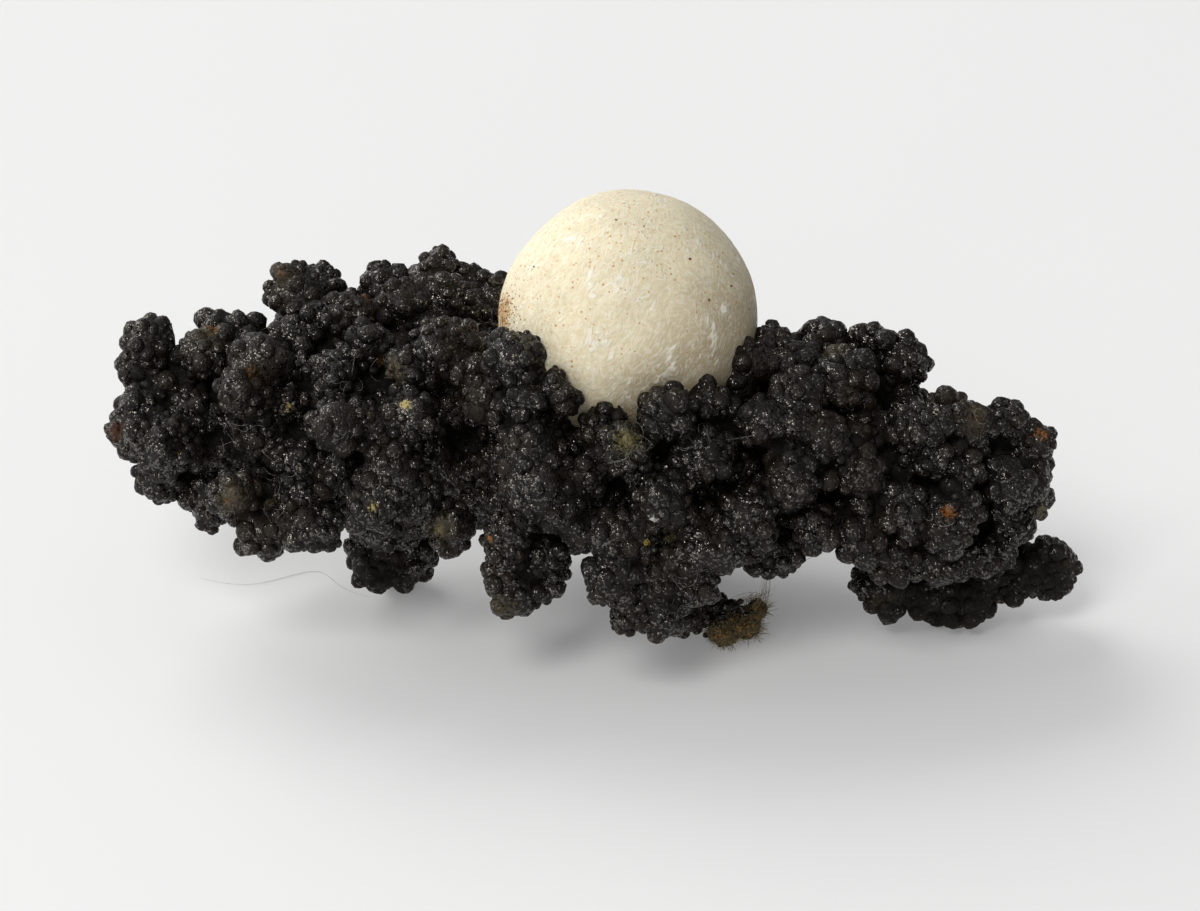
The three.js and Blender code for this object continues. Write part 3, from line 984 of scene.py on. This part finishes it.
def crowd(corners, triangles, depths, limit, level, scale, random):
    """Centres and radii of a level's balls on a surface."""
    bands, spacing, least, most = level
    bands = [(low * scale, high * scale, tries / scale**2) for low, high, tries in bands]
    places, directions, radii = candidates(corners, triangles, depths, limit, bands, random)
    free = with_room_in_front(places, directions, radii, tree_of(corners, triangles))
    cover = np.array([noise.noise(Vector(place) * 0.45 + Vector((7, 3, 1))) for place in places])
    free &= (cover < BARE_ABOVE) | (radii > BARE_RADIUS)
    places, directions, radii = places[free], directions[free], radii[free]
    stay = crowded(places, radii, spacing)
    places, directions, radii = places[stay], directions[stay], radii[stay]
    places = places - directions * (radii * random.uniform(least, most, len(stay)))[:, None]
    places[:, 2] = np.maximum(places[:, 2], radii * 0.98)
    clear = np.linalg.norm(places - np.array(BALL_CENTRE), axis=1) > BALL_RADIUS + 0.1 * radii
    return places[clear], radii[clear]


def nudged(places):
    """Places in mm after the small shifts of the outline."""
    places = places.copy()
    offsets = places - np.array(VIEWPOINT)
    for right, rise, radius, across, up in NUDGES:
        sight = np.array(aimed_at(right, rise)[1])
        aside = np.linalg.norm(offsets - (offsets @ sight)[:, None] * sight, axis=1) / radius
        share = np.clip(1 - aside * aside, 0, None) ** 2
        places += share[:, None] * np.array(across * RIGHT + up * RISE)
    places[:, 2] = np.maximum(places[:, 2], 0.0)
    return places


def extra_grapes(tree):
    """Centres and radii of the grapes in the gaps, and of those at the middle foot with smaller ones."""
    clump = sum(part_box("earthy_tuft"), Vector()) / 2 / MM
    random = np.random.default_rng(FOOT_SEED)
    places, radii = [], []
    for right, rise, radius in GAP_GRAPES:
        _, sight = aimed_at(right, rise)
        along = [VIEWPOINT + sight * (VIEW_DISTANCE + step) for step in np.linspace(-12, 12, 97)]
        places.append(tuple(min(along, key=lambda place: tree.find_nearest(place)[3])))
        radii.append(radius)
    for right, rise, radius in FOOT_GRAPES:
        for smaller in range(3):
            x, y = random.normal(0, 0.22, 2) * (smaller > 0)
            size = radius * (1.0 if smaller == 0 else random.uniform(0.45, 0.75))
            _, sight = aimed_at(right + x, rise + y)
            place = VIEWPOINT + sight * ((clump.y - 0.2 * smaller - VIEWPOINT.y) / sight.y)
            place.z = max(place.z, size)
            places.append(tuple(place))
            radii.append(size)
    return np.array(places), np.array(radii)


def build_goethite(settings):
    """The mass and its grapes."""
    random = np.random.default_rng(settings.seed)
    look = goethite_look(settings)
    corners, triangles, depths, hollows = goethite_mass(settings, random)
    tree = tree_of(corners, triangles)
    shape, faces = thinned(corners, triangles, MOST_TRIANGLES)
    # Painted shade of each corner of the mass, from the hollows.
    dark = values_at(shape, tree, triangles, hollows)
    shape = nudged(shape)
    mesh = mesh_of("goethite_mass", shape, faces)
    stained_and_shaded(mesh, shape, tree, dark, np.zeros(len(shape)))
    keep("goethite_mass", mesh, look, ["goethite"])

    limit = KNUCKLE_VALLEYS[1]
    places, radii = crowd(corners, triangles, depths, limit, GRAPES, settings.grape_scale, random)
    # Painted shade of each grape, from the hollow it sits in.
    dark = values_at(places, tree, triangles, hollows)
    places = nudged(places)
    extra, extra_radii = extra_grapes(tree)
    places, radii = np.concatenate([places, extra]), np.concatenate([radii, extra_radii])
    dark = np.concatenate([dark, np.zeros(len(extra))])
    tones = random.random(len(places))
    edges = np.quantile(places[:, 0], np.linspace(0, 1, GRAPE_PIECES + 1))
    for band in range(GRAPE_PIECES):
        last = band == GRAPE_PIECES - 1
        mine = (places[:, 0] >= edges[band]) & ((places[:, 0] < edges[band + 1]) | last)
        shape, faces, owners = crowd_of_balls(places[mine], radii[mine], 2, 0.08, random)
        shape[:, 2] = np.maximum(shape[:, 2], 0.0)
        name = f"goethite_grapes_{band + 1}"
        mesh = mesh_of(name, shape, faces)
        stained_and_shaded(mesh, shape, tree, dark[mine][owners], tones[mine][owners])
        keep(name, mesh, look)


def ball_surface(direction):
    """The ball's radius in a direction, with its flat shoulder and slight unevenness."""
    shoulder = (RIGHT * -0.73 + RISE * 0.68).normalized()
    away = direction.angle(shoulder) / 0.35
    swell = 0.035 * noise.noise(direction * 2.2) + 0.012 * noise.noise(direction * 7.0)
    return BALL_RADIUS - 0.16 * math.exp(-away * away) + swell


def build_aragonite(settings):
    """The felted ball, its dark grains and the dirt at its left edge."""
    ball = bmesh.new()
    bmesh.ops.create_icosphere(ball, subdivisions=6, radius=1.0)
    relief = settings.relief / MM
    for vertex in ball.verts:
        direction = vertex.co.normalized()
        fine = relief * noise.fractal(direction * 38.0, 1.0, 2.0, 2)
        vertex.co = BALL_CENTRE + direction * (ball_surface(direction) + fine)
    mesh = bpy.data.meshes.new("aragonite_ball_felted")
    ball.to_mesh(mesh)
    ball.free()
    corners, triangles = arrays_of(mesh)
    mesh = mesh_of("aragonite_ball_felted", corners, triangles)
    tree = tree_of(corners, triangles)
    look = aragonite_look(settings, tuple(seen_place(tree, *BALL_DIRT)))
    keep("aragonite_ball_felted", mesh, look, ["aragonite_ball"])

    random = np.random.default_rng(BALL_SEED)
    places = [seen_place(tree, right, rise) for right, rise in BALL_DOTS]
    radii = list(np.linspace(0.068, 0.038, len(places)))
    while len(places) < len(BALL_DOTS) + DIRT_GRAINS:
        right = BALL_DIRT[0] + random.normal(0, 0.28)
        rise = BALL_DIRT[1] + random.normal(0, 0.45)
        places.append(seen_place(tree, right, rise))
        radii.append(random.uniform(0.015, 0.045))
    places, radii = np.array([tuple(place) for place in places]), np.array(radii)
    shape, faces, owners = crowd_of_balls(places, radii, 1, 0.2, random, 0.35)
    mesh = mesh_of("aragonite_ball_grains", shape, faces)
    shades = random.random(len(places))
    shades[: len(BALL_DOTS)] = np.linspace(0.9, 0.4, len(BALL_DOTS))
    store(mesh, "tone", shades[owners])
    look = grain_look("brown_grains", (0.50, 0.27, 0.085), (0.10, 0.040, 0.015))
    keep("aragonite_ball_grains", mesh, look)


def build_earth(settings):
    """The clump of earth at the foot: its body, grains and fibres."""
    body = evenly_meshed(in_millimetres("earthy_tuft"), 0.10, 3)
    roughened(body, 0.12, 0.02)
    corners, triangles = finished_arrays(body)
    mesh = mesh_of("earthy_tuft_body", corners, triangles)
    look = earth_look(settings)
    keep("earthy_tuft_body", mesh, look, ["earthy_tuft"])

    random = np.random.default_rng(EARTH_SEED)
    (a, b, c), normals, areas = measured(corners, triangles)
    picks = random.choice(len(triangles), TUFT_GRAINS, p=areas / areas.sum())
    middles = (a + b + c) / 3
    places = middles[picks]
    radii = random.uniform(0.03, 0.085, len(picks))
    places[:, 2] = np.maximum(places[:, 2], radii)
    shape, faces, _ = crowd_of_balls(places, radii, 1, 0.2, random, 0.3)
    keep("earthy_tuft_grains", mesh_of("earthy_tuft_grains", shape, faces), look)

    paths = []
    picks = random.choice(len(triangles), settings.fibres, p=areas / areas.sum())
    centre = corners.mean(axis=0)
    for pick in picks:
        place = Vector(middles[pick])
        heading = (Vector(normals[pick] / areas[pick]) + Vector(random.normal(0, 0.8, 3))).normalized()
        lean = Vector((0.5, -0.1, 0.35)) if place.x > centre[0] + 0.3 else Vector((0, 0, -0.1))
        length = random.uniform(0.15, 0.42) * (1.0 if place.x < centre[0] + 0.3 else 1.5)
        path = [place]
        for _ in range(6):
            heading = (heading + Vector(random.normal(0, 0.35, 3)) + 0.3 * lean).normalized()
            place = place + heading * length / 6
            place.z = max(place.z, 0.02)
            path.append(place)
        paths.append(path)
    for wisp in TUFT_WISPS:
        for _ in range(WISP_FIBRES):
            spread = random.normal(0, 0.10, 2)
            path = []
            for right, rise in wisp:
                _, sight = aimed_at(right + spread[0], rise + spread[1])
                place = VIEWPOINT + sight * ((centre[1] - VIEWPOINT.y) / sight.y)
                path.append(place + Vector(random.normal(0, 0.05, 3)))
            paths.append(path)
    mesh = fibre_mesh("earthy_tuft_fibres", paths, settings.fibre_radius / MM, 0)
    keep("earthy_tuft_fibres", mesh, fibre_look("straw_fibre", settings.straw, settings.earth))


def lifted_path(tree, points, lift):
    """A path that lies over a surface along sight lines, a little in front of it."""
    return [seen_place(tree, right, rise) - VIEW * lift for right, rise in points]


def build_lint(settings):
    """Lint caught on the grapes, and one long fibre that lies from the left foot along the floor."""
    parts = [piece for piece in bpy.context.scene.objects if piece.name.startswith("goethite")]
    corners, triangles, start = [], [], 0
    for part in parts:
        shape, faces = arrays_of(part.data)
        corners.append(shape / MM)
        triangles.append(faces + start)
        start += len(shape)
    tree = tree_of(np.concatenate(corners), np.concatenate(triangles))
    random = np.random.default_rng(LINT_SEED)
    paths = [lifted_path(tree, points, 0.03) for points in CAUGHT_LINT]
    for right, rise, radius, fibres in TANGLES:
        for _ in range(fibres):
            x, y = random.normal(0, 0.5, 2) * radius
            turn, bend = random.uniform(0, 2 * math.pi), random.normal(0, 0.7)
            points = []
            for _ in range(random.integers(4, 8)):
                points.append((right + x, rise + y))
                bend = 0.6 * bend + random.normal(0, 0.5)
                turn += bend
                x += 0.17 * math.cos(turn)
                y += 0.17 * math.sin(turn)
            paths.append(lifted_path(tree, points, random.uniform(0.01, 0.12)))
    mesh = fibre_mesh("lint", paths, LINT_RADIUS, 0)
    keep("lint", mesh, fibre_look("grey_lint", settings.lint, (0.25, 0.24, 0.22)))

    down = []
    for right, rise in FLOOR_LINT:
        _, sight = aimed_at(right, rise)
        down.append(VIEWPOINT + sight * ((0.03 - VIEWPOINT.z) / sight.z))
    mesh = fibre_mesh("lint_on_ground", [down], FLOOR_LINT_RADIUS, 1)
    keep("lint_on_ground", mesh, fibre_look("pale_lint", (0.55, 0.53, 0.50), (0.42, 0.41, 0.39)))


def area_light(name, place, size, power, colour):
    """A soft square light that points at the specimen. Place and size are in metres."""
    light = bpy.data.lights.new(name, "AREA")
    light.shape = "SQUARE"
    light.size = size
    light.energy = power
    light.color = colour
    holder = bpy.data.objects.new(name, light)
    holder.location = place
    holder.rotation_mode = "QUATERNION"
    holder.rotation_quaternion = (-Vector(place)).to_track_quat("-Z", "Y")
    bpy.context.scene.collection.objects.link(holder)


def build_stage(settings):
    """The pale floor, the soft lights and the camera."""
    scene = bpy.context.scene
    scene.view_settings.view_transform = "Standard"
    scene.view_settings.look = "None"
    disc = bmesh.new()
    bmesh.ops.create_circle(disc, cap_ends=True, segments=96, radius=3.0)
    mesh = bpy.data.meshes.new("floor")
    disc.to_mesh(mesh)
    disc.free()
    mesh.materials.append(floor_look(settings))
    floor = bpy.data.objects.new("floor", mesh)
    scene.collection.objects.link(floor)

    scene.world = bpy.data.worlds.new("pale_room")
    scene.world.use_nodes = True
    background = scene.world.node_tree.nodes["Background"]
    background.inputs["Color"].default_value = (0.97, 0.98, 1.0, 1.0)
    background.inputs["Strength"].default_value = settings.ambient
    warm = (1.0, 0.99, 0.965)
    area_light("back_light", (-0.74, 0.90, 0.88), 1.0, settings.back, warm)
    area_light("front_light", (-0.45, -0.95, 1.18), 0.6, settings.front, warm)
    area_light("left_light", (-1.42, 0.10, 0.60), 0.9, settings.left, warm)
    area_light("fill_light", (-0.10, -1.55, 0.55), 1.2, settings.fill, warm)

    camera = bpy.data.cameras.new("camera")
    camera.lens = LENS
    camera.sensor_width = SENSOR_WIDTH
    camera.clip_start = 0.01
    camera.clip_end = 20.0
    holder = bpy.data.objects.new("camera", camera)
    holder.location = VIEWPOINT * MM
    holder.rotation_mode = "QUATERNION"
    holder.rotation_quaternion = VIEW.to_track_quat("-Z", "Y")
    scene.collection.objects.link(holder)
    scene.camera = holder


# ---- Operators and panel ----------------------------------------------------------------------------


class SPECIMEN_OT_goethite(Operator):
    """Build the black goethite mass and its grapes"""

    bl_idname = "specimen.goethite"
    bl_label = "Goethite"

    def execute(self, context):
        build_goethite(context.scene.specimen_goethite)
        return {"FINISHED"}


class SPECIMEN_OT_aragonite(Operator):
    """Build the white aragonite ball and the grains on it"""

    bl_idname = "specimen.aragonite"
    bl_label = "Aragonite ball"

    def execute(self, context):
        build_aragonite(context.scene.specimen_aragonite)
        return {"FINISHED"}


class SPECIMEN_OT_earth(Operator):
    """Build the clump of earth and fibres at the foot"""

    bl_idname = "specimen.earth"
    bl_label = "Earthy tuft"

    def execute(self, context):
        build_earth(context.scene.specimen_earth)
        return {"FINISHED"}


class SPECIMEN_OT_lint(Operator):
    """Lay the lint over the grapes. Build the goethite first"""

    bl_idname = "specimen.lint"
    bl_label = "Lint"

    def execute(self, context):
        build_lint(context.scene.specimen_earth)
        return {"FINISHED"}


class SPECIMEN_OT_stage(Operator):
    """Set out the pale floor, the soft lights and the camera"""

    bl_idname = "specimen.stage"
    bl_label = "Stage"

    def execute(self, context):
        build_stage(context.scene.specimen_stage)
        return {"FINISHED"}


class SPECIMEN_PT_build(Panel):
    """Lists the specimen's pieces in the sidebar"""

    bl_idname = "SPECIMEN_PT_build"
    bl_label = "Aragonite with goethite"
    bl_space_type = "VIEW_3D"
    bl_region_type = "UI"
    bl_category = "Specimen"

    def draw(self, context):
        for operator in OPERATORS:
            self.layout.operator(operator.bl_idname)
        for name, settings in SETTINGS.items():
            box = self.layout.box()
            group = getattr(context.scene, name)
            for field in settings.__annotations__:
                box.prop(group, field)


OPERATORS = (
    SPECIMEN_OT_goethite, SPECIMEN_OT_aragonite, SPECIMEN_OT_earth, SPECIMEN_OT_lint, SPECIMEN_OT_stage,
)
SETTINGS = {
    "specimen_goethite": GoethiteSettings,
    "specimen_aragonite": AragoniteSettings,
    "specimen_earth": EarthSettings,
    "specimen_stage": StageSettings,
}


def register():
    for group in (*SETTINGS.values(), *OPERATORS, SPECIMEN_PT_build):
        bpy.utils.register_class(group)
    for name, settings in SETTINGS.items():
        setattr(bpy.types.Scene, name, PointerProperty(type=settings))


def unregister():
    for name in SETTINGS:
        delattr(bpy.types.Scene, name)
    for group in (SPECIMEN_PT_build, *reversed(OPERATORS), *reversed(tuple(SETTINGS.values()))):
        bpy.utils.unregister_class(group)


def main():
    register()
    bpy.ops.specimen.goethite()
    bpy.ops.specimen.aragonite()
    bpy.ops.specimen.earth()
    bpy.ops.specimen.lint()
    bpy.ops.specimen.stage()


if __name__ == "__main__":
    main()
